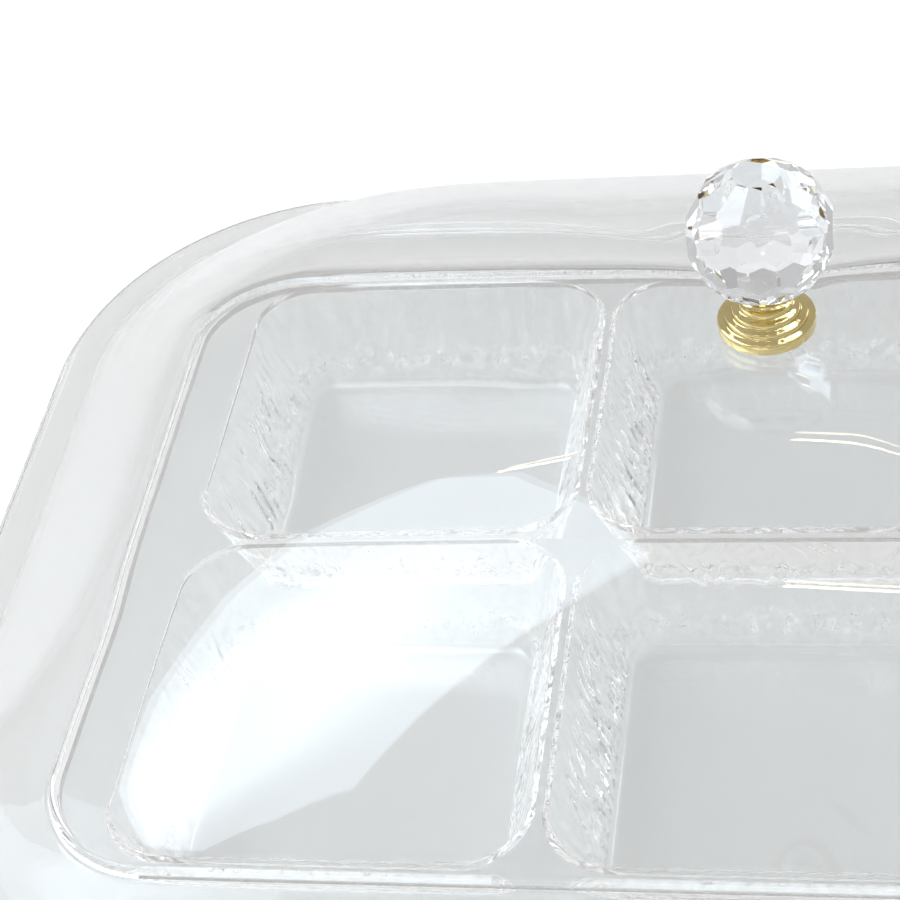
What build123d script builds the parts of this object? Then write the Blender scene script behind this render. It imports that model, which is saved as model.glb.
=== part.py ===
from build123d import *
import math
import os

# Divided serving tray with a domed lift-off lid and a cut-crystal knob.
# +Z is up, +Y is the far side, and the origin is under the middle of the tray,
# on the surface that the six well floors stand on.

# Tray, driving sizes
columns = 3
rows = 2
pitch = 95.6
divider = 4.6
tray_wall = 2.2
well_depth = 27.0
well_draft = 20.0
well_corner = 14.5
floor_chamfer = 3.0
foot_chamfer = 2.6
edge_chamfer = 1.2
panel_margin_x = 15.9
panel_margin_y = 5.4
panel_corner = 27.0
bead_width = 2.2
bead_height = 1.2
panel_step = 2.0
rim_width = 37.5
rim_corner = 72.0
rim_chamfer = 0.7
seat_depth = 0.8

# Lid, driving sizes
lid_wall = 2.6
lid_band = 9.0
lid_clearance = 0.3
dome_rise = 64.0
dome_power = 2.5
dome_sections = 17
crown_half = 15.0
crown_stretch = 1.1
screw_hole_play = 0.25

# Knob, driving sizes
ball_diameter = 30.0
ball_flat_radius = 5.6
facets_per_belt = 12
belts_each_way = 2
belt_angle = 27.0
facet_ratio = 0.985
base_radius = 10.4
base_band = 2.7
step_count = 3
step_height = 1.5
neck_radius = 4.2
neck_height = 2.0
cup_height = 1.6
screw_radius = 2.0
screw_head_radius = 3.9
screw_head_height = 2.6
screw_head_bevel = 1.0
screw_reach = 7.0
slot_width = 1.1
slot_depth = 1.1
washer_radius = 6.0
washer_thickness = 1.0

# Sizes that follow from the ones above
well_side = pitch - divider
panel_half_x = (columns * pitch - divider) / 2 + panel_margin_x
panel_half_y = (rows * pitch - divider) / 2 + panel_margin_y
rim_half_x = panel_half_x + rim_width
rim_half_y = panel_half_y + rim_width
panel_top = tray_wall + well_depth
rim_top = panel_top - panel_step
rim_bottom = rim_top - tray_wall
foot_half_x = rim_half_x - lid_clearance - lid_band
foot_half_y = rim_half_y - lid_clearance - lid_band
foot_corner = rim_corner - lid_clearance - lid_band
seat_wall = rim_chamfer + 2 * lid_clearance
band_half_x = rim_half_x - seat_wall - lid_clearance
band_half_y = rim_half_y - seat_wall - lid_clearance
band_corner = rim_corner - seat_wall - lid_clearance
lid_bottom = rim_top - seat_depth
seat_reach = lid_wall + 2 * seat_depth + lid_clearance


def dome_height(fraction):
    """Height of the dome's skin over its foot, for a plan size as a fraction of the foot's."""
    return dome_rise * (1 - fraction**dome_power)


with BuildPart() as tray:
    # Flat rim plate, then the panel one step higher inside it
    with BuildSketch(Plane.XY.offset(rim_bottom)):
        RectangleRounded(2 * rim_half_x, 2 * rim_half_y, rim_corner)
    extrude(amount=tray_wall)
    chamfer(tray.faces().sort_by(Axis.Z)[0].edges(), rim_chamfer)
    with BuildSketch(Plane.XY.offset(rim_bottom)):
        RectangleRounded(2 * panel_half_x, 2 * panel_half_y, panel_corner)
    extrude(amount=panel_top - rim_bottom)
    # Bead that stands round the panel's edge
    with BuildSketch(Plane.XY.offset(panel_top)):
        RectangleRounded(2 * panel_half_x, 2 * panel_half_y, panel_corner)
        RectangleRounded(
            2 * (panel_half_x - bead_width),
            2 * (panel_half_y - bead_width),
            panel_corner - bead_width,
            mode=Mode.SUBTRACT,
        )
    extrude(amount=bead_height)
    chamfer(tray.faces().sort_by(Axis.Z)[-1].edges(), bead_width / 2 - lid_clearance)
    # Underside of the panel, hollowed to the wall thickness
    with BuildSketch(Plane.XY.offset(rim_bottom)):
        RectangleRounded(
            2 * (panel_half_x - tray_wall),
            2 * (panel_half_y - tray_wall),
            panel_corner - tray_wall,
        )
    extrude(amount=panel_step, mode=Mode.SUBTRACT)
    # Tapered outsides of the six wells, which merge below the dividers
    with BuildSketch(Plane.XY.offset(panel_top)):
        with GridLocations(pitch, pitch, columns, rows):
            RectangleRounded(
                well_side + 2 * tray_wall,
                well_side + 2 * tray_wall,
                well_corner + tray_wall,
            )
    extrude(amount=-panel_top, taper=well_draft)
    chamfer(tray.faces().group_by(Axis.Z)[0].edges(), foot_chamfer)
    # Insides of the wells, with the same draft
    with BuildSketch(Plane.XY.offset(panel_top)):
        with GridLocations(pitch, pitch, columns, rows):
            RectangleRounded(well_side, well_side, well_corner)
    extrude(amount=-well_depth, taper=well_draft, mode=Mode.SUBTRACT)
    well_floors = tray.faces().filter_by(Plane.XY).filter_by_position(
        Axis.Z, tray_wall - edge_chamfer, tray_wall + edge_chamfer
    )
    chamfer(well_floors.edges(), floor_chamfer)
    # Softened tops of the dividers and of the wells' outer edges
    panel_face = tray.faces().filter_by(Plane.XY).filter_by_position(
        Axis.Z, panel_top - edge_chamfer / 2, panel_top + edge_chamfer / 2
    ).sort_by(SortBy.AREA)[-1]
    chamfer(panel_face.inner_wires().edges(), edge_chamfer)
    # Shallow seat that the lid's band sits in
    with BuildSketch(Plane.XY.offset(rim_top)):
        RectangleRounded(
            2 * (rim_half_x - seat_wall),
            2 * (rim_half_y - seat_wall),
            rim_corner - seat_wall,
        )
        RectangleRounded(
            2 * (foot_half_x - seat_reach),
            2 * (foot_half_y - seat_reach),
            foot_corner - seat_reach,
            mode=Mode.SUBTRACT,
        )
    extrude(amount=-seat_depth, mode=Mode.SUBTRACT)
tray.part.label = "tray"


with BuildPart() as lid:
    # Outer skin of the dome, from the foot to the small flat crown
    for index in range(dome_sections):
        step = index / (dome_sections - 1)
        size_y = foot_half_y + (crown_half - foot_half_y) * step
        size_x = foot_half_x + (crown_half * crown_stretch - foot_half_x) * step
        corner = foot_corner + (crown_half - screw_hole_play - foot_corner) * step
        height = lid_bottom + lid_wall + dome_height(size_y / foot_half_y)
        with BuildSketch(Plane.XY.offset(height)):
            RectangleRounded(2 * size_x, 2 * size_y, corner)
    loft(ruled=True)
    # Flat band round the foot
    with BuildSketch(Plane.XY.offset(lid_bottom)):
        RectangleRounded(2 * band_half_x, 2 * band_half_y, band_corner)
    extrude(amount=lid_wall)
    chamfer(lid.faces().sort_by(Axis.Z)[0].edges(), lid_wall / 2 - 2 * lid_clearance)
    # Inner skin, one wall inside the outer one
    for index in range(dome_sections):
        step = index / (dome_sections - 1)
        size_y = foot_half_y + (crown_half - foot_half_y) * step
        size_x = foot_half_x + (crown_half * crown_stretch - foot_half_x) * step
        corner = foot_corner + (crown_half - screw_hole_play - foot_corner) * step
        height = lid_bottom + dome_height(size_y / foot_half_y)
        with BuildSketch(Plane.XY.offset(height)):
            RectangleRounded(2 * (size_x - lid_wall), 2 * (size_y - lid_wall), corner - lid_wall)
    loft(ruled=True, mode=Mode.SUBTRACT)
    # Hole for the knob's screw
    crown_top = lid.faces().sort_by(Axis.Z)[-1].center().Z
    with BuildSketch(Plane.XY.offset(crown_top)):
        Circle(screw_radius + screw_hole_play)
    extrude(amount=-2 * lid_wall, mode=Mode.SUBTRACT)
lid.part.label = "lid"

# Heights of the knob's parts over the lid's crown
base_top = crown_top + base_band + step_count * step_height + neck_height + cup_height
ball_radius = ball_diameter / 2
ball_sink = math.sqrt(ball_radius**2 - ball_flat_radius**2)
ball_centre = base_top + ball_sink
facet_radius = ball_radius * facet_ratio


with BuildPart() as knob_base:
    # Stepped rosette, turned in one piece with its neck and cup
    step_run = (base_radius - neck_radius) / (step_count + 1)
    with BuildSketch(Plane.XZ):
        with BuildLine():
            outline = [(0, crown_top), (base_radius, crown_top)]
            for index in range(step_count + 1):
                ring = base_radius - index * step_run
                outline.append((ring, crown_top + base_band + index * step_height))
                outline.append((ring - step_run, crown_top + base_band + index * step_height))
            outline.append((neck_radius, base_top - cup_height))
            outline.append((ball_flat_radius, base_top - cup_height / 2))
            outline.append((ball_flat_radius, base_top))
            outline.append((0, base_top))
            Polyline(*outline, close=True)
        make_face()
    revolve(axis=Axis.Z)
    # Blind hole for the screw
    with BuildSketch(Plane.XY.offset(crown_top)):
        Circle(screw_radius)
    extrude(amount=screw_reach, mode=Mode.SUBTRACT)
knob_base.part.label = "knob_base"


with BuildPart() as knob_ball:
    # Ball that is cut flat facet by facet, in staggered belts from the table to the cup
    with BuildSketch(Plane.XY.offset(base_top)):
        Rectangle(2 * ball_diameter, 2 * ball_diameter)
    extrude(amount=ball_sink + facet_radius)
    for belt in range(-belts_each_way, belts_each_way + 1):
        rise = math.radians(belt * belt_angle)
        for facet in range(facets_per_belt):
            turn = 2 * math.pi * (facet + (belt % 2) / 2) / facets_per_belt
            normal = Vector(
                math.cos(rise) * math.cos(turn),
                math.cos(rise) * math.sin(turn),
                math.sin(rise),
            )
            split(
                bisect_by=Plane(Vector(0, 0, ball_centre) + normal * facet_radius, z_dir=normal),
                keep=Keep.BOTTOM,
            )
knob_ball.part.label = "knob_ball"


with BuildPart() as knob_washer:
    with BuildSketch(Plane.XY.offset(crown_top - lid_wall)):
        Circle(washer_radius)
        Circle(screw_radius + screw_hole_play, mode=Mode.SUBTRACT)
    extrude(amount=-washer_thickness)
knob_washer.part.label = "knob_washer"


with BuildPart() as knob_screw:
    # Pan-headed machine screw that clamps the lid between the washer and the base
    head_top = crown_top - lid_wall - washer_thickness
    with BuildSketch(Plane.XY.offset(head_top)):
        Circle(screw_head_radius)
    extrude(amount=-screw_head_height)
    chamfer(knob_screw.faces().sort_by(Axis.Z)[0].edges(), screw_head_bevel)
    with BuildSketch(Plane.XY.offset(head_top)):
        Circle(screw_radius)
    extrude(amount=crown_top + screw_reach - head_top)
    # Crossed driving slots
    with BuildSketch(Plane.XY.offset(head_top - screw_head_height)):
        Rectangle(screw_head_radius, slot_width)
        Rectangle(slot_width, screw_head_radius)
    extrude(amount=slot_depth, mode=Mode.SUBTRACT)
knob_screw.part.label = "knob_screw"

os.makedirs("parts", exist_ok=True)
export_step(tray.part, "parts/tray.step")
export_step(lid.part, "parts/lid.step")
export_step(knob_base.part, "parts/knob_base.step")
export_step(knob_ball.part, "parts/knob_ball.step")
export_step(knob_washer.part, "parts/knob_washer.step")
export_step(knob_screw.part, "parts/knob_screw.step")
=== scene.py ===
"""Divided serving tray with a domed lift-off lid and a cut-crystal knob, dressed for its portrait."""

import logging
import math
from dataclasses import dataclass, field
from enum import Enum
from typing import Protocol

import bmesh
import bpy
from mathutils import Matrix, Vector, noise


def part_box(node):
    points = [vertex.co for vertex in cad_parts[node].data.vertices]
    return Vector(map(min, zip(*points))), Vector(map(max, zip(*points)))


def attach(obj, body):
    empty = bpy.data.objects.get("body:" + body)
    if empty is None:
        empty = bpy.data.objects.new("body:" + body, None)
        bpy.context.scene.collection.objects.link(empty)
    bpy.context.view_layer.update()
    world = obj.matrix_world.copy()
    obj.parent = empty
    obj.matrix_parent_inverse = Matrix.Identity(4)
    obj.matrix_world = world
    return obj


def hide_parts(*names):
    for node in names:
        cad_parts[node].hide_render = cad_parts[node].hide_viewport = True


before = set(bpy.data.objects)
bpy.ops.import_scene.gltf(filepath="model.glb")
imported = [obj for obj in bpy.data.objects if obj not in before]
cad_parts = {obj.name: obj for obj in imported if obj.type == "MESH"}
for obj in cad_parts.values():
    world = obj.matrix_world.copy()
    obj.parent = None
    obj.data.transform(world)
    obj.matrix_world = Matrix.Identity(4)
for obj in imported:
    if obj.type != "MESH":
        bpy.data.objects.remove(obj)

log = logging.getLogger("serving_tray")

MM = 0.001

Colour = tuple[float, float, float]
Point = tuple[float, float, float]
Pair = tuple[float, float]
Face = tuple[int, ...]
Tree = bpy.types.NodeTree
Node = bpy.types.Node
Socket = bpy.types.NodeSocket

# Nearly all of a noise lies between these values
NOISE_SPAN = (0.3, 0.7)

# Bead round the panel: distance outside the panel's edge, and height over its top face
BEAD_PROFILE = (
    (-3.0, 0.0), (-2.3, 0.08), (-1.95, 0.45), (-1.6, 0.95), (-1.1, 1.2),
    (-0.6, 0.95), (-0.25, 0.45), (-0.05, -0.2), (0.1, -1.2),
)
# Foot of the panel's step: distance outside the panel's edge, and height over the rim
STEP_PROFILE = ((0.4, 0.35), (0.9, 0.06), (1.8, 0.0))
# Edge of the rim: distance outside its edge, and height over its top face or over its underside
RIM_TOP_PROFILE = ((-0.5, -0.05), (-0.15, -0.25), (0.0, -0.7))
RIM_UNDER_PROFILE = ((0.0, 0.9), (-0.2, 0.35), (-0.7, 0.0))
# Inner edge of the rim's underside: distance outside the hollow's wall, and height over the underside
INNER_EDGE_PROFILE = ((0.4, 0.0), (0.0, 0.3))

# Edge of the lid's band: distance outside its edge, and height over its underside or over its top face
BAND_UNDER_PROFILE = ((-0.7, 0.0), (-0.2, 0.25), (0.0, 0.8))
BAND_TOP_PROFILE = ((0.0, -0.8), (-0.25, -0.2), (-0.9, 0.0))
# Distances outside the dome's foot of the rings on the band's top face
BAND_RINGS = (5.0, 3.5, 2.2, 1.2, 0.5)

# Steps of the rosette: distance inside its widest ring, and height over the lid's crown
ROSETTE_PROFILE = (
    (0.5, 0.0), (0.12, 0.12), (0.0, 0.5), (0.0, 2.1), (0.12, 2.5), (0.5, 2.7), (1.2, 2.75),
    (1.5, 2.9), (1.6, 3.7), (1.75, 4.05), (2.1, 4.2), (2.8, 4.25),
    (3.05, 4.4), (3.15, 5.2), (3.3, 5.55), (3.7, 5.7), (4.3, 5.75),
    (4.6, 5.95), (4.7, 6.7), (4.85, 7.05), (5.3, 7.2),
)
# Neck and cup: radius, and height over the lid's crown
NECK_PROFILE = ((4.75, 7.35), (4.35, 7.7), (4.25, 8.6), (4.5, 9.2), (5.2, 9.7), (5.55, 10.1))
# Lip of the cup: radius, and height over its top
LIP_PROFILE = ((5.6, -0.1), (5.5, 0.0))

# Corners of the softbox seen from above, in metres
SOFTBOX_CORNERS = (
    (-2.25, -0.35), (-2.3, 0.45), (-2.05, 1.05), (-1.7, 1.2), (-0.95, 1.03), (-0.62, 0.8), (-0.25, 0.26),
    (-0.19, -0.06), (-0.27, -0.36), (-0.4, -0.78), (-0.62, -1.45), (-0.85, -1.6), (-1.25, -1.6), (-1.8, -1.1),
)


class Skin(Enum):
    """Which side of a moulded wall a surface is."""

    TOP = "top"
    UNDERSIDE = "underside"


class Finish(Protocol):
    """Anything that can be turned into a node material."""

    def make(self) -> bpy.types.Material:
        """Return the finish as a node material."""


# Nodes


def new_material(name: str) -> tuple[bpy.types.Material, Tree]:
    """Make an empty node material.

    Args:
        name: Name of the material.

    Returns:
        The material and its node tree, with no nodes in it.
    """
    material = bpy.data.materials.new(name)
    material.use_nodes = True
    material.node_tree.nodes.clear()
    return material, material.node_tree


def close_tree(tree: Tree, shader: Socket) -> None:
    """Send a shader to the material's surface.

    Args:
        tree: Node tree of the material.
        shader: The finished shader.
    """
    out = tree.nodes.new("ShaderNodeOutputMaterial")
    tree.links.new(shader, out.inputs["Surface"])


def add_node(tree: Tree, kind: str, values: dict[str | int, object]) -> Node:
    """Add a node and set some of its inputs.

    Args:
        tree: Node tree that takes the node.
        kind: Blender's name for the kind of node.
        values: Names or numbers of inputs, and the values that they take.

    Returns:
        The new node.
    """
    node = tree.nodes.new(kind)
    for socket, value in values.items():
        node.inputs[socket].default_value = value
    return node


def add_noise(tree: Tree, scale: float, detail: float, stretch: Point | None = None) -> Socket:
    """Add a noise texture in object coordinates.

    Args:
        tree: Node tree that takes the texture.
        scale: Scale of the noise, per metre.
        detail: Number of finer octaves.
        stretch: Share of the scale along each axis, if not the whole.

    Returns:
        The output with the noise.
    """
    place = tree.nodes.new("ShaderNodeTexCoord").outputs["Object"]
    if stretch is not None:
        draw_out = add_node(tree, "ShaderNodeVectorMath", {1: stretch})
        draw_out.operation = "MULTIPLY"
        tree.links.new(place, draw_out.inputs[0])
        place = draw_out.outputs["Vector"]
    grain = add_node(tree, "ShaderNodeTexNoise", {"Scale": scale, "Detail": detail})
    tree.links.new(place, grain.inputs["Vector"])
    return grain.outputs["Fac"]


def add_ramp(tree: Tree, source: Socket, taken: Pair, given: Pair = (0.0, 1.0)) -> Socket:
    """Map one span of values onto another, held at both ends.

    Args:
        tree: Node tree that takes the node.
        source: Output that gives the value.
        taken: First and last value that it takes.
        given: The values that these turn into.

    Returns:
        The output with the mapped value.
    """
    ramp = add_node(tree, "ShaderNodeMapRange", {
        "From Min": taken[0], "From Max": taken[1], "To Min": given[0], "To Max": given[1],
    })
    tree.links.new(source, ramp.inputs["Value"])
    return ramp.outputs["Result"]


def add_maths(tree: Tree, operation: str, *sources: Socket, clamp: bool = False) -> Socket:
    """Add a maths node.

    Args:
        tree: Node tree that takes the node.
        operation: Blender's name for what it does.
        sources: The outputs that it works on, in order.
        clamp: Whether its result is held between 0 and 1.

    Returns:
        The output with the result.
    """
    maths = tree.nodes.new("ShaderNodeMath")
    maths.operation = operation
    maths.use_clamp = clamp
    for number, source in enumerate(sources):
        tree.links.new(source, maths.inputs[number])
    return maths.outputs["Value"]


def add_blur(tree: Tree, cloud: Socket, roughness: float, spread: float) -> Socket:
    """Vary a roughness cloudily.

    Args:
        tree: Node tree that takes the node.
        cloud: Noise that drives it.
        roughness: Its middle value.
        spread: How far it goes either way, as a share of that.

    Returns:
        The output with the roughness.
    """
    limits = (roughness * (1 - spread), roughness * (1 + spread))
    return add_ramp(tree, cloud, NOISE_SPAN, limits)


def add_bump(tree: Tree, cloud: Socket, strength: float, depth: float) -> Socket:
    """Add a bump driven by a noise.

    Args:
        tree: Node tree that takes the node.
        cloud: Noise that gives the height.
        strength: Strength of the bump.
        depth: Height of the bump in metres.

    Returns:
        The output with the bent normal.
    """
    bump = add_node(tree, "ShaderNodeBump", {"Strength": strength, "Distance": depth})
    tree.links.new(cloud, bump.inputs["Height"])
    return bump.outputs["Normal"]


def add_blend(tree: Tree, cloud: Socket, first: Colour, second: Colour) -> Socket:
    """Blend two colours cloudily.

    Args:
        tree: Node tree that takes the nodes.
        cloud: Noise that drives the blend.
        first: Colour where the noise is low.
        second: Colour where the noise is high.

    Returns:
        The output with the blended colour.
    """
    blend = tree.nodes.new("ShaderNodeMix")
    blend.data_type = "RGBA"
    blend.inputs["A"].default_value = (*first, 1.0)
    blend.inputs["B"].default_value = (*second, 1.0)
    tree.links.new(add_ramp(tree, cloud, NOISE_SPAN), blend.inputs["Factor"])
    return blend.outputs["Result"]


def mix_shaders(tree: Tree, share: Socket, first: Socket, second: Socket) -> Socket:
    """Mix two shaders.

    Args:
        tree: Node tree that takes the node.
        share: Output that gives the second shader's share.
        first: The first shader.
        second: The second shader.

    Returns:
        The output with the mixed shader.
    """
    mix = tree.nodes.new("ShaderNodeMixShader")
    tree.links.new(share, mix.inputs["Fac"])
    tree.links.new(first, mix.inputs[1])
    tree.links.new(second, mix.inputs[2])
    return mix.outputs["Shader"]


# Finishes


@dataclass(frozen=True)
class WallHazeAndPaintedGlints:
    """Milky streaks down a steep wall, and painted highlights: milky flecks in a band round its foot, where
    they stand in for the glints of the ripples.

    The band rises and falls over heights in metres, and a wall is steep where the upright part of
    its normal is small.
    """

    streak: float
    painted_glint: float
    streak_scale: float = 340.0
    streak_detail: float = 2.0
    streak_stretch: Point = (1.0, 1.0, 0.15)
    streak_dip: float = 0.5
    painted_glint_scale: float = 330.0
    painted_glint_detail: float = 1.5
    painted_glint_dip: float = 0.6
    band_rise: Pair = (0.004, 0.007)
    band_fall: Pair = (0.013, 0.009)
    steep: Pair = (0.55, 0.4)
    # White of the milky streaks, and also of the painted glints
    haze_and_glint_white: Colour = (0.93, 0.94, 0.94)

    def add_strength(self, tree: Tree) -> Socket:
        """Add the nodes that set how milky each place is, with the painted glints in the band at the foot.

        Args:
            tree: Node tree that takes the nodes.

        Returns:
            The output with the strength.
        """
        streak = add_noise(tree, self.streak_scale, self.streak_detail, self.streak_stretch)
        streaks = add_ramp(tree, streak, NOISE_SPAN, (-self.streak_dip * self.streak, self.streak))
        painted_glint = add_noise(tree, self.painted_glint_scale, self.painted_glint_detail)
        painted_glints = add_ramp(tree, painted_glint, NOISE_SPAN, (-self.painted_glint_dip * self.painted_glint, self.painted_glint))
        place = tree.nodes.new("ShaderNodeTexCoord")
        level = tree.nodes.new("ShaderNodeSeparateXYZ")
        tree.links.new(place.outputs["Object"], level.inputs["Vector"])
        rise = add_ramp(tree, level.outputs["Z"], self.band_rise)
        fall = add_ramp(tree, level.outputs["Z"], self.band_fall)
        # Painted highlights: milky flecks only in the band round the wall's foot, standing in for the
        # ripples' glints
        feet = add_maths(tree, "MULTIPLY", add_maths(tree, "MULTIPLY", rise, fall), painted_glints)
        return add_maths(tree, "ADD", feet, streaks, clamp=True)

    def lay(self, tree: Tree, clear: Socket) -> Socket:
        """Lay the milky layer and its painted glints over a clear plastic, on its steep faces only.

        Args:
            tree: Node tree that takes the nodes.
            clear: Shader of the clear plastic.

        Returns:
            The shader with its haze.
        """
        shape = tree.nodes.new("ShaderNodeNewGeometry")
        split = tree.nodes.new("ShaderNodeSeparateXYZ")
        tree.links.new(shape.outputs["Normal"], split.inputs["Vector"])
        steep = add_ramp(tree, add_maths(tree, "ABSOLUTE", split.outputs["Z"]), self.steep)
        share = add_maths(tree, "MULTIPLY", steep, self.add_strength(tree))
        haze_and_glint_white = add_node(tree, "ShaderNodeBsdfDiffuse", {"Color": (*self.haze_and_glint_white, 1.0)})
        return mix_shaders(tree, share, clear, haze_and_glint_white.outputs["BSDF"])


@dataclass(frozen=True)
class ClearFinish:
    """Clear moulded plastic or cut glass that lets lamps through, with a faint tint.

    Light that has bounced about inside it for longer than trapped_depth is let out, so that thin
    edges don't turn black.
    """

    name: str
    tint: Colour
    shade: Colour
    index: float = 1.49
    roughness: float = 0.015
    blur_spread: float = 0.5
    waviness: float = 0.1
    wave_scale: float = 30.0
    wave_detail: float = 2.0
    wave_depth: float = 0.0004
    trapped_depth: float = 8.0
    haze_and_glints: WallHazeAndPaintedGlints | None = None

    def make(self) -> bpy.types.Material:
        """Build the finish's nodes.

        Returns:
            The finish as a node material.
        """
        material, tree = new_material(self.name)
        body = add_node(tree, "ShaderNodeBsdfPrincipled", {
            "Base Color": (*self.tint, 1.0), "IOR": self.index, "Transmission Weight": 1.0,
        })
        cloud = add_noise(tree, self.wave_scale, self.wave_detail)
        tree.links.new(add_blur(tree, cloud, self.roughness, self.blur_spread), body.inputs["Roughness"])
        tree.links.new(add_bump(tree, cloud, self.waviness, self.wave_depth), body.inputs["Normal"])
        lit = add_node(tree, "ShaderNodeBsdfTransparent", {"Color": (*self.shade, 1.0)})
        path = tree.nodes.new("ShaderNodeLightPath")
        shader = mix_shaders(tree, path.outputs["Is Shadow Ray"], body.outputs["BSDF"], lit.outputs["BSDF"])
        # The milky layer, where there is one, also carries painted glints round the walls' foot
        if self.haze_and_glints is not None:
            shader = self.haze_and_glints.lay(tree, shader)
        deep = add_maths(tree, "GREATER_THAN", path.outputs["Ray Depth"])
        deep.node.inputs[1].default_value = self.trapped_depth
        release = tree.nodes.new("ShaderNodeBsdfTransparent")
        close_tree(tree, mix_shaders(tree, deep, shader, release.outputs["BSDF"]))
        return material


@dataclass(frozen=True)
class MetalFinish:
    """Polished or plain metal with faint turning marks and cloudy polish."""

    name: str
    bright: Colour
    deep: Colour
    roughness: float
    blur_spread: float = 0.4
    grain_scale: float = 220.0
    grain_detail: float = 4.0
    grain: float = 0.08
    grain_depth: float = 0.0001

    def make(self) -> bpy.types.Material:
        """Build the finish's nodes.

        Returns:
            The finish as a node material.
        """
        material, tree = new_material(self.name)
        body = add_node(tree, "ShaderNodeBsdfPrincipled", {"Metallic": 1.0})
        cloud = add_noise(tree, self.grain_scale, self.grain_detail)
        tree.links.new(add_blend(tree, cloud, self.bright, self.deep), body.inputs["Base Color"])
        tree.links.new(add_blur(tree, cloud, self.roughness, self.blur_spread), body.inputs["Roughness"])
        tree.links.new(add_bump(tree, cloud, self.grain, self.grain_depth), body.inputs["Normal"])
        close_tree(tree, body.outputs["BSDF"])
        return material


@dataclass(frozen=True)
class MilkyFinish:
    """Milky white nylon with faint clouds in it."""

    name: str
    pale: Colour
    dull: Colour
    roughness: float = 0.35
    blur_spread: float = 0.2
    cloud_scale: float = 260.0
    cloud_detail: float = 3.0

    def make(self) -> bpy.types.Material:
        """Build the finish's nodes.

        Returns:
            The finish as a node material.
        """
        material, tree = new_material(self.name)
        body = tree.nodes.new("ShaderNodeBsdfPrincipled")
        cloud = add_noise(tree, self.cloud_scale, self.cloud_detail)
        tree.links.new(add_blend(tree, cloud, self.pale, self.dull), body.inputs["Base Color"])
        tree.links.new(add_blur(tree, cloud, self.roughness, self.blur_spread), body.inputs["Roughness"])
        close_tree(tree, body.outputs["BSDF"])
        return material


@dataclass(frozen=True)
class FloorFinish:
    """Matt white studio sweep with painted shade: darker to every ray but the camera's, so that it looks
    shaded where the plastic shows or mirrors it.
    """

    name: str = "studio_floor"
    white: float = 0.94
    painted_shade_grey: float = 0.745
    roughness: float = 0.9
    gloss: float = 0.1

    def make(self) -> bpy.types.Material:
        """Build the finish's nodes.

        Returns:
            The finish as a node material.
        """
        material, tree = new_material(self.name)
        body = add_node(tree, "ShaderNodeBsdfPrincipled", {
            "Roughness": self.roughness, "Specular IOR Level": self.gloss,
        })
        path = tree.nodes.new("ShaderNodeLightPath")
        # Painted shade: only the camera sees the floor at its full white, and rays through or off the plastic
        # see it darker.
        tone = add_ramp(tree, path.outputs["Is Camera Ray"], (0.0, 1.0), (self.painted_shade_grey, self.white))
        tree.links.new(tone, body.inputs["Base Color"])
        close_tree(tree, body.outputs["BSDF"])
        return material


@dataclass(frozen=True)
class GlowFinish:
    """Lit cloth or a lit tube, with a brighter core that fades outwards."""

    name: str
    colour: Colour
    strength: float
    core: float = 0.0
    core_at: Point = (0.0, 0.0, 0.0)
    core_span: Pair = (0.5, 1.0)

    def make(self) -> bpy.types.Material:
        """Build the finish's nodes.

        Returns:
            The finish as a node material.
        """
        material, tree = new_material(self.name)
        place = tree.nodes.new("ShaderNodeTexCoord")
        reach = add_node(tree, "ShaderNodeVectorMath", {1: self.core_at})
        reach.operation = "DISTANCE"
        tree.links.new(place.outputs["Object"], reach.inputs[0])
        fade = add_ramp(
            tree, reach.outputs["Value"], self.core_span, (self.strength + self.core, self.strength)
        )
        fade.node.interpolation_type = "SMOOTHSTEP"
        glow = add_node(tree, "ShaderNodeEmission", {"Color": (*self.colour, 1.0)})
        tree.links.new(fade, glow.inputs["Strength"])
        close_tree(tree, glow.outputs["Emission"])
        return material


# Mesh work


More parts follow.
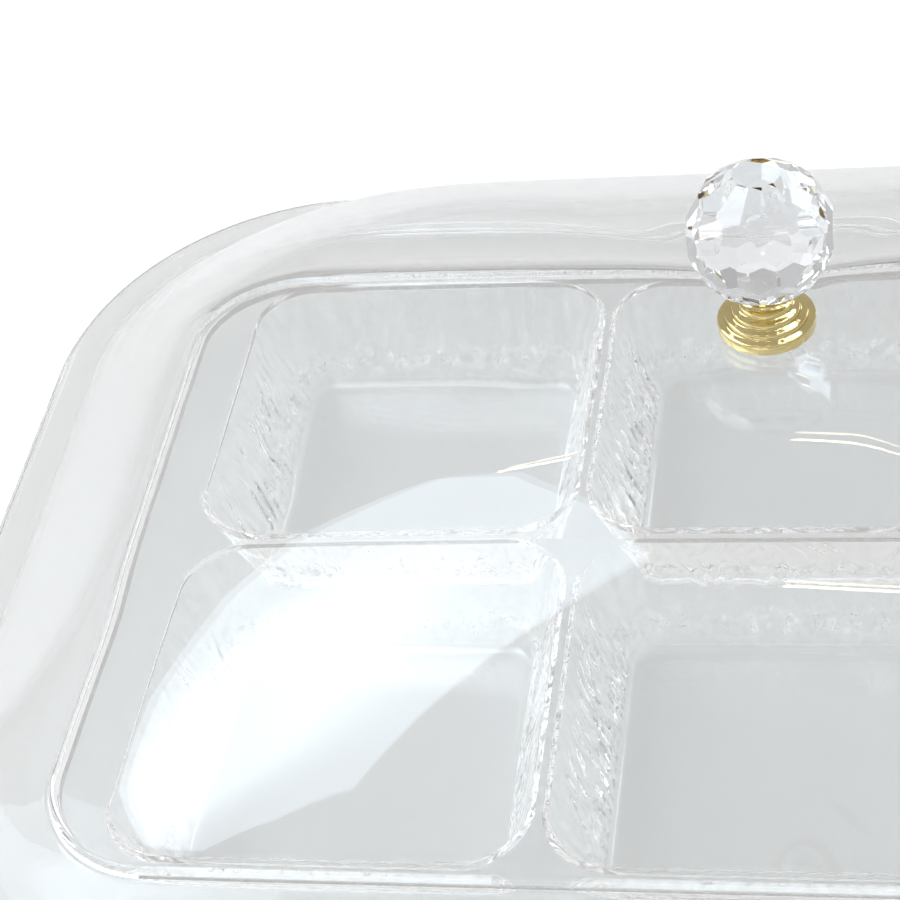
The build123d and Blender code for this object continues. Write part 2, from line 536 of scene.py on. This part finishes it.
@dataclass
class Shell:
    """Points and faces of one mesh while it is built, in millimetres."""

    points: list[Point] = field(default_factory=list)
    faces: list[Face] = field(default_factory=list)

    def add_ring(self, ring: list[Point]) -> list[int]:
        """Add a closed ring of points.

        Args:
            ring: The ring's points in order.

        Returns:
            The numbers of the new points.
        """
        start = len(self.points)
        self.points.extend(ring)
        return list(range(start, start + len(ring)))

    def bridge(self, first: list[int], second: list[int]) -> None:
        """Join two rings of equal length with quads.

        Args:
            first: Point numbers of one ring.
            second: Point numbers of the other ring.
        """
        count = len(first)
        for i in range(count):
            j = (i + 1) % count
            self.faces.append((first[i], first[j], second[j], second[i]))

    def stack(self, rings: list[list[Point]]) -> tuple[list[int], list[int]]:
        """Add rings and join each to the next.

        Args:
            rings: Rings of equal length, in order.

        Returns:
            The point numbers of the first and of the last ring.
        """
        numbers = [self.add_ring(ring) for ring in rings]
        for first, second in zip(numbers, numbers[1:]):
            self.bridge(first, second)
        return numbers[0], numbers[-1]

    def cap(self, ring: list[int]) -> None:
        """Close a flat ring with one face."""
        self.faces.append(tuple(ring))

    def fill(self, outer: list[int], holes: list[list[int]]) -> None:
        """Fill a flat sheet between an outer ring and the holes in it.

        Args:
            outer: Point numbers of the outer ring.
            holes: Point numbers of each hole's ring.
        """
        sheet = bmesh.new()
        back: list[int] = []
        edges = []
        for ring in [outer, *holes]:
            corners = [sheet.verts.new(self.points[number]) for number in ring]
            edges += [sheet.edges.new(ends) for ends in zip(corners, corners[1:] + corners[:1])]
            back += ring
        sheet.verts.index_update()
        bmesh.ops.triangle_fill(sheet, use_beauty=True, edges=edges, normal=Vector((0, 0, 1)))
        for face in sheet.faces:
            self.faces.append(tuple(back[corner.index] for corner in face.verts))
        sheet.free()

    def make(
        self, name: str, body: str, slot: str, material: bpy.types.Material, sharp: float
    ) -> bpy.types.Object:
        """Turn the shell into a Blender object that rides on a body.

        Args:
            name: The object's name.
            body: The body that carries it.
            slot: Not used.
            material: Its finish.
            sharp: Edges sharper than this many degrees stay crisp.

        Returns:
            The new object.
        """
        mesh = bpy.data.meshes.new(name)
        mesh.from_pydata([tuple(c * MM for c in p) for p in self.points], [], self.faces)
        work = bmesh.new()
        work.from_mesh(mesh)
        bmesh.ops.recalc_face_normals(work, faces=work.faces)
        work.to_mesh(mesh)
        work.free()
        mesh.polygons.foreach_set("use_smooth", [True] * len(mesh.polygons))
        mesh.set_sharp_from_angle(angle=math.radians(sharp))
        mesh.materials.append(material)
        piece = bpy.data.objects.new(name, mesh)
        bpy.context.scene.collection.objects.link(piece)
        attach(piece, body)
        log.info("%s: %d points, %d faces", name, len(mesh.vertices), len(mesh.polygons))
        return piece


@dataclass(frozen=True)
class RoundedLoop:
    """A rectangle with round corners, always cut into the same number of points."""

    along_x: int
    along_y: int
    corner: int

    @property
    def count(self) -> int:
        """Number of points in the loop."""
        return 4 * self.corner + 2 * (self.along_x + self.along_y)

    def points(
        self, half_x: float, half_y: float, radius: float, at: Pair = (0.0, 0.0)
    ) -> list[tuple[float, float, float, float]]:
        """Walk round the loop.

        Args:
            half_x: Half the width.
            half_y: Half the depth.
            radius: Corner radius.
            at: Middle of the loop.

        Returns:
            For each point its x, y and the outward direction's x, y.
        """
        out: list[tuple[float, float, float, float]] = []
        flat_x, flat_y = half_x - radius, half_y - radius
        quarters = (
            (flat_x, flat_y, 0.0, self.along_x),
            (-flat_x, flat_y, 90.0, self.along_y),
            (-flat_x, -flat_y, 180.0, self.along_x),
            (flat_x, -flat_y, 270.0, self.along_y),
        )
        for index, (cx, cy, start, steps) in enumerate(quarters):
            for i in range(self.corner):
                turn = math.radians(start + 90.0 * i / self.corner)
                c, s = math.cos(turn), math.sin(turn)
                out.append((at[0] + cx + radius * c, at[1] + cy + radius * s, c, s))
            turn = math.radians(start + 90.0)
            c, s = math.cos(turn), math.sin(turn)
            nx, ny = quarters[(index + 1) % 4][:2]
            for i in range(steps):
                t = i / steps
                x = at[0] + cx + (nx - cx) * t + radius * c
                y = at[1] + cy + (ny - cy) * t + radius * s
                out.append((x, y, c, s))
        return out


def drawn_in(ring: list[Point], share: float, radius: float) -> list[Point]:
    """Draw a ring in towards a circle round the middle.

    Args:
        ring: The ring's points.
        share: 0 keeps the ring and 1 gives the circle.
        radius: The circle's radius.

    Returns:
        The new ring's points.
    """
    out = []
    for x, y, z in ring:
        scale = (1 - share) + share * radius / math.hypot(x, y)
        out.append((x * scale, y * scale, z))
    return out


# Tray


@dataclass(frozen=True)
class Wander:
    """A smooth noise on a well's wall, with the size of its lumps in millimetres."""

    along: float
    down: float
    seed: float = 0.0
    middle: float = 0.0
    swing: float = 1.0

    def at(self, along: float, down: float, seed: float) -> float:
        """Return the noise at a place on the wall.

        Args:
            along: Distance round the well.
            down: Depth below the panel.
            seed: Number that sets one well apart from the next.

        Returns:
            The noise's value.
        """
        place = Vector((along / self.along, down / self.down, seed + self.seed))
        return self.middle + self.swing * noise.noise(place)


@dataclass(frozen=True)
class Ripples:
    """Uneven ripples down a well's wall, with rounder lobes near its foot, in millimetres."""

    height: float = 0.26
    pitch: float = 5.4
    wave_drift: float = 1.4
    wave_share: float = 0.6
    streak_share: float = 0.8
    outside_share: float = 0.35
    lobe_height: float = 0.5
    lobe_pitch: float = 4.4
    lobe_drift: float = 0.9
    lobe_level: float = 0.8
    lobe_reach: float = 5.5
    top_gap: float = 2.0
    top_fade: float = 7.0
    foot_gap: float = 0.6
    foot_fade: float = 3.0
    drift: Wander = Wander(along=13.0, down=10.0)
    strength: Wander = Wander(along=9.0, down=8.0, seed=13.0, middle=0.75, swing=0.8)
    streak: Wander = Wander(along=2.9, down=14.0, seed=7.0)
    lobe_size: Wander = Wander(along=5.0, down=1.0, seed=21.0, middle=0.7, swing=0.9)

    def at(self, along: float, down: float, depth: float, seed: float) -> float:
        """Return how far the rippled wall stands in at a place on it.

        Args:
            along: Distance round the well.
            down: Depth below the panel.
            depth: Depth of the well.
            seed: Number that sets one well apart from the next.

        Returns:
            Height of the ripple.
        """
        fade = min(1.0, max(0.0, (down - self.top_gap) / self.top_fade))
        fade *= min(1.0, max(0.0, (depth - self.foot_gap - down) / self.foot_fade))
        if fade == 0.0:
            return 0.0
        drift = self.drift.at(along, down, seed)
        strength = self.strength.at(along, down, seed)
        wave = math.sin(2 * math.pi * (along / self.pitch + self.wave_drift * drift))
        ripple = self.wave_share * strength * wave + self.streak_share * self.streak.at(along, down, seed)
        lobe = 0.5 + 0.5 * math.sin(2 * math.pi * (along / self.lobe_pitch + self.lobe_drift * drift))
        # A lobe's size is the same all the way down
        lobe *= self.lobe_size.at(along, self.lobe_size.down, seed)
        away = min(1.0, abs(down - depth * self.lobe_level) / self.lobe_reach)
        foot = lobe * (0.5 + 0.5 * math.cos(math.pi * away))
        return fade * (self.height * ripple + self.lobe_height * foot)


@dataclass
class Tray:
    """The clear tray, in millimetres: a wide flat rim, a raised panel with a bead, and rippled wells."""

    pitch: float = 95.6
    divider: float = 4.6
    wall: float = 2.2
    depth: float = 27.0
    draft: float = 20.0
    well_corner: float = 14.5
    least_corner: float = 1.6
    corner_taper: float = 0.92
    edge_round: float = 1.1
    floor_round: float = 3.8
    foot_round: float = 3.0
    round_steps: int = 6
    wall_rings: int = 34
    panel_corner: float = 27.0
    margin_x: float = 15.9
    margin_y: float = 5.4
    panel_step: float = 2.0
    rim_width: float = 37.5
    rim_corner: float = 72.0
    play: float = 0.3
    lid_band: float = 9.0
    seat_depth: float = 0.8
    seat_reach: float = 4.5
    seat_wall: float = 1.3
    seat_gap: float = 0.06
    seat_bevel: float = 0.1
    seat_ring: float = 5.0
    columns: int = 3
    rows: int = 2
    column_seed: float = 3.7
    row_seed: float = 11.3
    sharp: float = 50.0
    well_loop: RoundedLoop = RoundedLoop(along_x=96, along_y=96, corner=22)
    rim_loop: RoundedLoop = RoundedLoop(along_x=36, along_y=24, corner=24)
    ripples: Ripples = Ripples()
    # Milky streaks on the wells' walls, and painted glints round their foot
    finish: ClearFinish = ClearFinish(
        "clear_tray", tint=(0.967, 0.964, 0.958), shade=(0.99, 0.99, 0.987),
        haze_and_glints=WallHazeAndPaintedGlints(streak=0.08, painted_glint=0.32),
    )

    @property
    def panel_top(self) -> float:
        """Height of the panel's top face."""
        return self.wall + self.depth

    @property
    def well_half(self) -> float:
        """Half the width of a well at the panel's top face."""
        return (self.pitch - self.divider) / 2

    @property
    def panel_half(self) -> Pair:
        """Half the panel's width and depth."""
        return (
            (self.columns * self.pitch - self.divider) / 2 + self.margin_x,
            (self.rows * self.pitch - self.divider) / 2 + self.margin_y,
        )

    def outer_ring(self, offset: float, height: float) -> list[Point]:
        """Return a ring round the panel.

        Args:
            offset: Distance outside the panel's edge.
            height: Height of the ring.

        Returns:
            The ring's points.
        """
        half_x, half_y = self.panel_half
        share = max(0.0, offset) / self.rim_width
        radius = self.panel_corner + min(offset, 0.0) + (self.rim_corner - self.panel_corner) * share
        walk = self.rim_loop.points(half_x + offset, half_y + offset, radius)
        return [(x, y, height) for x, y, _, _ in walk]

    def seat_profile(self, low: float) -> list[Pair]:
        """Return the profile of the shallow seat for the lid's band.

        Args:
            low: Height of the rim's top face.

        Returns:
            For each ring, its distance outside the panel's edge and its height.
        """
        start = self.rim_width - self.play - self.lid_band - self.seat_reach
        end = self.rim_width - self.seat_wall
        floor = low - self.seat_depth - self.seat_gap
        bevel = self.seat_bevel
        return [
            (start / 2, low), (start - 2 * bevel, low), (start, low - bevel), (start + bevel, floor),
            (start + self.seat_ring, floor),
            (end - bevel, floor), (end, low - bevel), (end + 2 * bevel, low),
        ]

    def rim_rings(self) -> list[list[Point]]:
        """Build the rings from the bead's inner foot out over the rim and back below it.

        Returns:
            The rings in order.
        """
        top = self.panel_top
        low = top - self.panel_step
        under = low - self.wall
        width = self.rim_width
        profile = [
            *((out, top + rise) for out, rise in BEAD_PROFILE),
            *((out, low + rise) for out, rise in STEP_PROFILE),
            *self.seat_profile(low),
            *((width + out, low + rise) for out, rise in RIM_TOP_PROFILE),
            *((width + out, under + rise) for out, rise in RIM_UNDER_PROFILE),
            (width / 2, under),
            *((-self.wall + out, under + rise) for out, rise in INNER_EDGE_PROFILE),
            (-self.wall, top - self.wall),
        ]
        return [self.outer_ring(offset, height) for offset, height in profile]

    def well_profile(self, skin: Skin) -> list[Pair]:
        """Return a well wall's profile from the panel to the floor.

        Args:
            skin: Inside or outside of the well.

        Returns:
            For each ring, its inset from the well's edge and its height.
        """
        draft = math.radians(self.draft)
        slope = math.tan(draft)
        top = self.panel_top
        profile: list[Pair] = []
        if skin is Skin.TOP:
            rounding, floor = self.floor_round, self.wall
            for i in range(self.round_steps + 1):
                turn = (math.pi / 2 - draft) * i / self.round_steps
                profile.append((
                    self.edge_round * (math.sin(turn) - 1),
                    top - self.edge_round * (1 - math.cos(turn)),
                ))
            first = profile[-1][0] - (top - profile[-1][1]) * slope
        else:
            rounding, floor = self.foot_round, 0.0
            first = -self.wall / math.cos(draft)
            profile.append((first + self.wall * slope, top - self.wall))
        start = profile[-1][1]
        end = floor + rounding * (1 - math.sin(draft))
        for i in range(1, self.wall_rings + 1):
            z = start + (end - start) * i / self.wall_rings
            profile.append(((top - z) * slope + first, z))
        base = profile[-1][0]
        for i in range(1, self.round_steps + 1):
            turn = draft + (math.pi / 2 - draft) * i / self.round_steps
            profile.append((
                base + rounding * (math.cos(draft) - math.cos(turn)),
                floor + rounding * (1 - math.sin(turn)),
            ))
        return profile

    def well_rings(self, at: Pair, seed: float, skin: Skin) -> list[list[Point]]:
        """Return the rings of one well, from the panel down to its floor.

        Args:
            at: Middle of the well.
            seed: Number that sets its ripples.
            skin: Inside or outside of the well.

        Returns:
            The rings in order.
        """
        share = 1.0 if skin is Skin.TOP else self.ripples.outside_share
        rings = []
        for inset, z in self.well_profile(skin):
            half = self.well_half - inset
            radius = max(self.least_corner, self.well_corner - inset * self.corner_taper)
            ring = []
            for number, (x, y, nx, ny) in enumerate(self.well_loop.points(half, half, radius, at)):
                along = number / self.well_loop.count * 8 * self.well_half
                push = share * self.ripples.at(along, self.panel_top - z, self.depth, seed)
                ring.append((x - nx * push, y - ny * push, z))
            rings.append(ring)
        return rings

    def build(self) -> bpy.types.Object:
        """Build the tray as one closed moulding.

        Returns:
            The moulding, which replaces the plain tray.
        """
        shell = Shell()
        inner, outer = shell.stack(self.rim_rings())
        tops: list[list[int]] = []
        unders: list[list[int]] = []
        for row in range(self.rows):
            for column in range(self.columns):
                at = (
                    (column - (self.columns - 1) / 2) * self.pitch,
                    (row - (self.rows - 1) / 2) * self.pitch,
                )
                seed = self.column_seed * column + self.row_seed * row
                for skin, openings in ((Skin.TOP, tops), (Skin.UNDERSIDE, unders)):
                    first, last = shell.stack(self.well_rings(at, seed, skin))
                    shell.cap(last)
                    openings.append(first)
        shell.fill(inner, tops)
        shell.fill(outer, unders)
        piece = shell.make("tray_moulding", "tray", "tray_clear", self.finish.make(), self.sharp)
        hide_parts("tray")
        return piece


# Lid


@dataclass
class Lid:
    """The clear lid: a flat band and a smooth dome with a small hole for the knob's screw.

    Sizes are in millimetres. The dome's rings crowd at its foot. A faint wave moves each ring's
    points, and blend_passes of smoothing then soften the ring's corners.
    """

    tray: Tray
    wall: float = 2.6
    rise: float = 64.0
    power: float = 2.5
    crown_half: float = 15.0
    crown_stretch: float = 1.1
    hole: float = 2.25
    wave: float = 0.3
    wave_grain: float = 24.0
    wave_rise: float = 0.3
    wave_fall: float = 3.0
    wave_seed: float = 3.0
    wave_change: float = 3.0
    foot_blend: float = 0.4
    blend_limit: float = 12.0
    blend_passes: int = 24
    blend_reach: float = 0.1
    steps: int = 72
    crowding: float = 1.25
    crown_shares: tuple[float, ...] = (0.35, 0.7, 1.0)
    inner_shares: tuple[float, ...] = (1.0, 0.6, 0.0)
    sharp: float = 50.0
    loop: RoundedLoop = RoundedLoop(along_x=40, along_y=28, corner=32)
    finish: ClearFinish = ClearFinish(
        "clear_lid", tint=(0.967, 0.965, 0.959), shade=(0.99, 0.99, 0.987), waviness=0.05
    )

    @property
    def bottom(self) -> float:
        """Height of the band's underside."""
        return self.tray.panel_top - self.tray.panel_step - self.tray.seat_depth

    @property
    def foot(self) -> tuple[float, float, float]:
        """Measure the dome's foot.

        Returns:
            Half its width and half its depth, and its corner radius.
        """
        half_x, half_y = self.tray.panel_half
        back = self.tray.rim_width - self.tray.play - self.tray.lid_band
        return half_x + back, half_y + back, self.tray.rim_corner - self.tray.play - self.tray.lid_band

    @property
    def span(self) -> float:
        """How much the dome's half depth shrinks from its foot to its crown."""
        return self.foot[1] - self.crown_half

    def ring(self, step: float, height: float, inset: float) -> list[Point]:
        """Return one ring of the dome.

        Args:
            step: 0 at the foot and 1 at the crown, below 0 on the band.
            height: Height of the ring.
            inset: Distance to draw the ring in, for the inner skin.

        Returns:
            The ring's points.
        """
        foot_x, foot_y, foot_r = self.foot
        if step < 0.0:
            out = -step * self.span
            half_x, half_y, radius = foot_x + out, foot_y + out, foot_r + out
        else:
            half_x = foot_x + (self.crown_half * self.crown_stretch - foot_x) * step
            half_y = foot_y + (self.crown_half - foot_y) * step
            radius = foot_r + (self.crown_half - self.tray.play - foot_r) * step
        ring = []
        inside = max(0.0, step)
        swell = self.wave * inside**self.wave_rise * (1 - inside) ** self.wave_fall
        level = self.wave_seed + self.wave_change * step
        for x, y, nx, ny in self.loop.points(half_x - inset, half_y - inset, radius - inset):
            push = swell * noise.noise(Vector((x / self.wave_grain, y / self.wave_grain, level)))
            ring.append((x + nx * push, y + ny * push))
        for _ in range(round(self.blend_passes * min(1.0, inside / self.blend_reach))):
            around = zip(ring[-1:] + ring[:-1], ring, ring[1:] + ring[:1])
            ring = [((a[0] + 2 * b[0] + c[0]) / 4, (a[1] + 2 * b[1] + c[1]) / 4) for a, b, c in around]
        return [(x, y, height) for x, y in ring]

    def plain_height(self, step: float) -> float:
        """Return the height over the foot of the dome's power law.

        Args:
            step: 0 at the foot and 1 at the crown.

        Returns:
            The height.
        """
        share = (self.foot[1] - self.span * step) / self.foot[1]
        return self.rise * (1 - share**self.power)

    def height(self, step: float) -> float:
        """Return the outer skin's height over the foot, blended softly into the band.

        Args:
            step: 0 at the foot and 1 at the crown, below 0 on the band.

        Returns:
            The height.
        """
        raw = self.plain_height(step)
        soft = self.foot_blend
        return soft * math.log1p(math.exp(raw / soft)) if raw < self.blend_limit * soft else raw

    def build(self) -> bpy.types.Object:
        """Build the lid as one closed moulding.

        Returns:
            The moulding, which replaces the plain lid.
        """
        low = self.bottom
        top = low + self.wall
        edge = self.tray.lid_band - self.tray.seat_wall
        rings: list[list[Point]] = []
        for start, profile in ((low, BAND_UNDER_PROFILE), (top, BAND_TOP_PROFILE)):
            for out, rise in profile:
                rings.append(self.ring(-(edge + out) / self.span, start + rise, 0.0))
        for out in BAND_RINGS:
            rings.append(self.ring(-out / self.span, top + self.height(-out / self.span), 0.0))
        for i in range(self.steps + 1):
            step = (i / self.steps) ** self.crowding
            rings.append(self.ring(step, top + self.height(step), 0.0))
        crown = rings[-1]
        rings += [drawn_in(crown, share, self.hole) for share in self.crown_shares]
        inner_crown = self.ring(1.0, crown[0][2] - self.wall, self.wall)
        rings += [drawn_in(inner_crown, share, self.hole) for share in self.inner_shares]
        for i in range(self.steps - 1, -1, -1):
            step = (i / self.steps) ** self.crowding
            rings.append(self.ring(step, low + self.plain_height(step), self.wall))
        shell = Shell()
        first, last = shell.stack(rings)
        shell.bridge(last, first)
        piece = shell.make("lid_moulding", "lid", "lid_clear", self.finish.make(), self.sharp)
        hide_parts("lid")
        return piece


# Knob


@dataclass
class Knob:
    """The crystal ball on its turned gold rosette, with the washer and screw inside the lid."""

    segments: int = 128
    sharp: float = 40.0
    ball: ClearFinish = ClearFinish(
        "cut_crystal", tint=(0.985, 0.988, 1.0), shade=(0.97, 0.97, 0.98), index=1.56, roughness=0.0,
        waviness=0.0,
    )
    gold: MetalFinish = MetalFinish(
        "polished_gold", bright=(0.80, 0.67, 0.34), deep=(0.70, 0.56, 0.25), roughness=0.05
    )
    steel: MetalFinish = MetalFinish(
        "plain_steel", bright=(0.70, 0.70, 0.69), deep=(0.58, 0.58, 0.58), roughness=0.25
    )
    washer: MilkyFinish = MilkyFinish("milky_washer", pale=(0.90, 0.90, 0.88), dull=(0.82, 0.82, 0.80))

    def turned_ring(self, radius: float, height: float) -> list[Point]:
        """Return a round ring about the knob's axis.

        Args:
            radius: Its radius.
            height: Its height.

        Returns:
            The ring's points.
        """
        turns = [2 * math.pi * i / self.segments for i in range(self.segments)]
        return [(radius * math.cos(turn), radius * math.sin(turn), height) for turn in turns]

    def rosette(self) -> bpy.types.Object:
        """Build the turned rosette with its softly rounded steps, its neck and its cup.

        Returns:
            The rosette, which replaces the plain base.
        """
        low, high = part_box("knob_base")
        base = low[2] / MM
        top = high[2] / MM
        widest = (high[0] - low[0]) / 2 / MM
        profile = [
            *((widest - inset, base + rise) for inset, rise in ROSETTE_PROFILE),
            *((radius, base + rise) for radius, rise in NECK_PROFILE),
            *((radius, top + rise) for radius, rise in LIP_PROFILE),
        ]
        shell = Shell()
        first, last = shell.stack([self.turned_ring(radius, z) for radius, z in profile])
        shell.cap(first)
        shell.cap(last)
        piece = shell.make("knob_rosette", "lid", "gold", self.gold.make(), self.sharp)
        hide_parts("knob_base")
        return piece

    def dress(self) -> None:
        """Give the ball, the washer and the screw their finishes."""
        finishes: dict[str, Finish] = {
            "knob_ball": self.ball, "knob_washer": self.washer, "knob_screw": self.steel,
        }
        for name, finish in finishes.items():
            material = finish.make()
            worn = bpy.data.objects[name].data.materials
            worn.clear()
            worn.append(material)
            log.info("%s dressed in %s", name, material.name)

    def build(self) -> bpy.types.Object:
        """Dress the ball, the washer and the screw, and return the rosette."""
        self.dress()
        return self.rosette()


# Studio


@dataclass(frozen=True)
class Lamp:
    """A soft rectangular lamp, with its place and size in metres and its power in watts."""

    name: str
    at: Point
    aim: Point
    size: Pair
    power: float
    colour: Colour = (1.0, 1.0, 1.0)
    mirrored: bool = True
    lights_matt: bool = True

    def hang(self) -> bpy.types.Object:
        """Hang the lamp where polished and matt surfaces are to see it.

        Returns:
            The lamp.
        """
        data = bpy.data.lights.new(self.name, "AREA")
        data.shape = "RECTANGLE"
        data.size, data.size_y = self.size
        data.energy = self.power
        data.color = self.colour
        lamp = bpy.data.objects.new(self.name, data)
        lamp.location = self.at
        lamp.rotation_mode = "QUATERNION"
        lamp.rotation_quaternion = (Vector(self.aim) - Vector(self.at)).to_track_quat("-Z", "Y")
        lamp.visible_glossy = self.mirrored
        lamp.visible_transmission = self.mirrored
        lamp.visible_diffuse = self.lights_matt
        bpy.context.scene.collection.objects.link(lamp)
        return lamp


@dataclass
class Studio:
    """White floor, a cloth softbox overhead, thin warm tubes and pale surroundings, in metres."""

    floor_half: float = 6.0
    floor_drop: float = 0.0005
    softbox_height: float = 1.5
    tube_height: float = 1.45
    tube_width: float = 0.012
    world_low: float = 0.7
    world_high: float = 0.62
    world_span: Pair = (0.0, 0.9)
    finish: FloorFinish = FloorFinish()
    cloth: GlowFinish = GlowFinish(
        "softbox_cloth", colour=(0.80, 0.91, 1.0), strength=2.9, core=3.4, core_at=(-1.25, -0.35, 1.5),
        core_span=(0.45, 1.15),
    )
    glow: GlowFinish = GlowFinish("warm_tube", colour=(1.0, 0.86, 0.58), strength=26.0)
    tubes: tuple[tuple[str, Pair, Pair], ...] = (
        ("tube_left", (-0.67, 0.85), (-0.45, 0.78)),
        ("tube_rear", (-0.08, 0.67), (0.05, 0.60)),
        ("tube_front", (-0.08, -0.21), (0.03, -0.25)),
    )
    lamps: tuple[Lamp, ...] = (
        Lamp(
            "overhead", at=(-0.4, -0.4, 2.4), aim=(-0.4, -0.4, 0.0), size=(4.0, 4.0), power=39.0,
            mirrored=False,
        ),
        Lamp(
            "window", at=(-1.3, -0.3, 1.3), aim=(-0.2, 0.0, 0.0), size=(1.4, 1.4), power=28.0,
            colour=(0.93, 0.97, 1.0), mirrored=False,
        ),
        Lamp(
            "front_kick", at=(-0.36, -1.56, 0.52), aim=(-0.05, 0.0, 0.03), size=(0.9, 0.35), power=2.5,
            lights_matt=False,
        ),
        Lamp(
            "side_kick", at=(1.1, 1.2, 0.7), aim=(-0.05, 0.0, 0.03), size=(0.6, 0.3), power=2.5,
            lights_matt=False,
        ),
    )

    def sheet(self, name: str, corners: list[Pair], height: float, finish: Finish) -> bpy.types.Object:
        """Lay a flat sheet that belongs to the studio.

        Args:
            name: Name of the sheet.
            corners: Its corners seen from above, in metres.
            height: Its height over the table.
            finish: Its finish.

        Returns:
            The sheet.
        """
        mesh = bpy.data.meshes.new(name)
        mesh.from_pydata([(x, y, height) for x, y in corners], [], [tuple(range(len(corners)))])
        mesh.materials.append(finish.make())
        sheet = bpy.data.objects.new(name, mesh)
        bpy.context.scene.collection.objects.link(sheet)
        return sheet

    def floor(self) -> None:
        """Lay the floor, a hair below the tray's feet."""
        h = self.floor_half
        self.sheet("floor", [(-h, -h), (h, -h), (h, h), (-h, h)], -self.floor_drop, self.finish)

    def softbox(self) -> None:
        """Hang the softbox, whose mirror image is the leaf of light on the lid."""
        cloth = self.sheet("softbox", list(SOFTBOX_CORNERS), self.softbox_height, self.cloth)
        cloth.visible_diffuse = False

    def tube(self, name: str, start: Pair, end: Pair) -> None:
        """Hang a thin lit tube.

        Args:
            name: Name of the tube.
            start: One end seen from above.
            end: Other end seen from above.
        """
        run = (Vector(end) - Vector(start)).normalized() * (self.tube_width / 2)
        ends = ((start, 1), (start, -1), (end, -1), (end, 1))
        corners = [(at[0] - side * run.y, at[1] + side * run.x) for at, side in ends]
        tube = self.sheet(name, corners, self.tube_height, self.glow)
        tube.visible_diffuse = False

    def surroundings(self) -> None:
        """Make the pale surroundings, a little dimmer overhead."""
        world = bpy.data.worlds.new("studio")
        bpy.context.scene.world = world
        world.use_nodes = True
        tree = world.node_tree
        tree.nodes.clear()
        place = tree.nodes.new("ShaderNodeTexCoord")
        split = tree.nodes.new("ShaderNodeSeparateXYZ")
        glow = tree.nodes.new("ShaderNodeBackground")
        out = tree.nodes.new("ShaderNodeOutputWorld")
        tree.links.new(place.outputs["Generated"], split.inputs["Vector"])
        strength = add_ramp(tree, split.outputs["Z"], self.world_span, (self.world_low, self.world_high))
        tree.links.new(strength, glow.inputs["Strength"])
        tree.links.new(glow.outputs["Background"], out.inputs["Surface"])

    def build(self) -> None:
        """Set up the whole studio."""
        self.floor()
        self.surroundings()
        self.softbox()
        for name, start, end in self.tubes:
            self.tube(name, start, end)
        for lamp in self.lamps:
            lamp.hang()
            log.info("%s hung", lamp.name)


@dataclass(frozen=True)
class Viewpoint:
    """The camera's place in metres and degrees, from the fit to the photograph's lines."""

    aim: Point = (-0.08236, 0.02994, 0.0292)
    distance: float = 0.56061
    elevation: float = 42.19
    turn: float = -16.04
    roll: float = -11.71
    focal_pixels: float = 2274.79
    image_pixels: float = 900.0
    sensor: float = 36.0
    nearest: float = 0.01
    farthest: float = 50.0

    def build(self) -> bpy.types.Object:
        """Place the camera.

        Returns:
            The scene's camera.
        """
        pitch, yaw, roll = (math.radians(a) for a in (self.elevation, self.turn, self.roll))
        ahead = Vector((math.sin(yaw) * math.cos(pitch), math.cos(yaw) * math.cos(pitch), -math.sin(pitch)))
        right = Vector((math.cos(yaw), -math.sin(yaw), 0.0))
        down = ahead.cross(right)
        turned_right = right * math.cos(roll) - down * math.sin(roll)
        turned_down = right * math.sin(roll) + down * math.cos(roll)
        place = Vector(self.aim) - ahead * self.distance
        turn = Matrix((turned_right, -turned_down, -ahead)).transposed()
        data = bpy.data.cameras.new("portrait")
        data.sensor_width = self.sensor
        data.lens = data.sensor_width * self.focal_pixels / self.image_pixels
        data.clip_start, data.clip_end = self.nearest, self.farthest
        camera = bpy.data.objects.new("portrait", data)
        camera.matrix_world = Matrix.Translation(place) @ turn.to_4x4()
        bpy.context.scene.collection.objects.link(camera)
        bpy.context.scene.camera = camera
        return camera


def set_light_paths(scene: bpy.types.Scene, bounces: int = 16, clear_layers: int = 32) -> None:
    """Let light pass through all the walls of the clear pieces.

    Args:
        scene: The scene.
        bounces: Most times that light is mirrored or bent.
        clear_layers: Most clear surfaces that a shadow passes.
    """
    scene.cycles.max_bounces = bounces
    scene.cycles.glossy_bounces = bounces
    scene.cycles.transmission_bounces = bounces
    scene.cycles.transparent_max_bounces = clear_layers


def main() -> None:
    """Build the object, the studio and the camera, and note the sizes."""
    logging.basicConfig(level=logging.INFO)
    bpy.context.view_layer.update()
    scene = bpy.context.scene
    scene.view_settings.view_transform = "Standard"
    set_light_paths(scene)
    tray = Tray()
    for piece in (tray.build(), Lid(tray).build(), Knob().build()):
        log.info("built %s", piece.name)
    Studio().build()
    Viewpoint().build()


if __name__ == "__main__":
    main()
